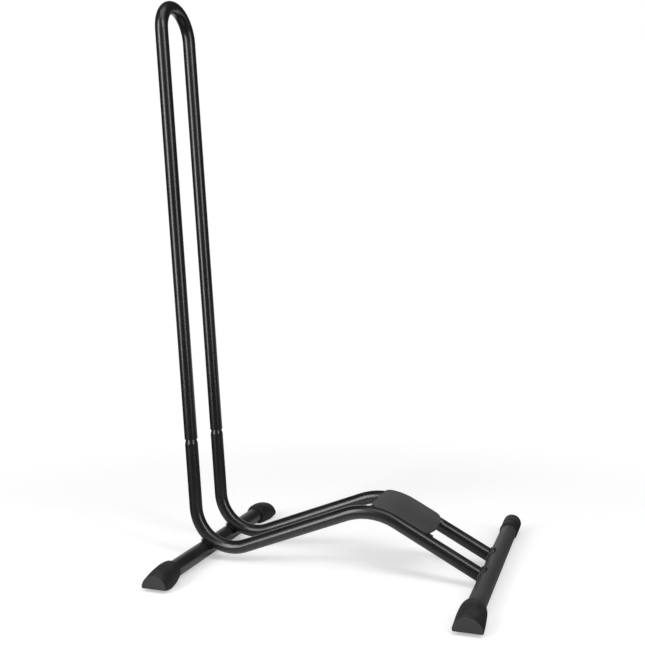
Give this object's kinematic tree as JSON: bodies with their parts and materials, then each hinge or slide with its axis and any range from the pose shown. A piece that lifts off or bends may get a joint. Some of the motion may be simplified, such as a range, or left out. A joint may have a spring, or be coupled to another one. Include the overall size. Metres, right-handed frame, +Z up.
{
  "type": "floor bike rack",
  "caption": "Floor rack for parking a bicycle by one wheel: tall lift-off hoop, bent side rails with a bridging plate, and cross tubes on rubber feet.",
  "frame": {"origin": "on the floor in the middle plane between the side rails, where a parked wheel's tyre comes down", "axes": "+X towards the rear cross tube, where the wheel rolls in; +Y towards the rack's right side; +Z up"},
  "size_m": [0.4194, 0.357, 0.695],
  "materials": {
    "gloss_black": "black powder coat with a low gloss",
    "satin_black": "black powder coat, satin, with a fine orange peel",
    "weld_black": "rippled weld bead under black powder coat",
    "foot_rubber": "matte moulded rubber"
  },
  "bodies": {
    "base": {"left_rail": "gloss_black", "right_rail": "gloss_black", "front_cross_tube": "satin_black", "rear_cross_tube": "satin_black", "wheel_plate": "satin_black", "front_left_weld": "weld_black", "front_right_weld": "weld_black", "rear_left_weld": "weld_black", "rear_right_weld": "weld_black", "plate_left_weld": "weld_black", "plate_right_weld": "weld_black", "front_left_foot": "foot_rubber", "front_right_foot": "foot_rubber", "rear_left_foot": "foot_rubber", "rear_right_cap": "foot_rubber"},
    "hoop": {"upper_hoop": "gloss_black"}
  },
  "joints": [
    {"name": "hoop_lift", "type": "slide", "parent": "base", "child": "hoop", "axis": [-0.0548, 0, 0.9985], "range_m": [0, 0.16]}
  ]
}
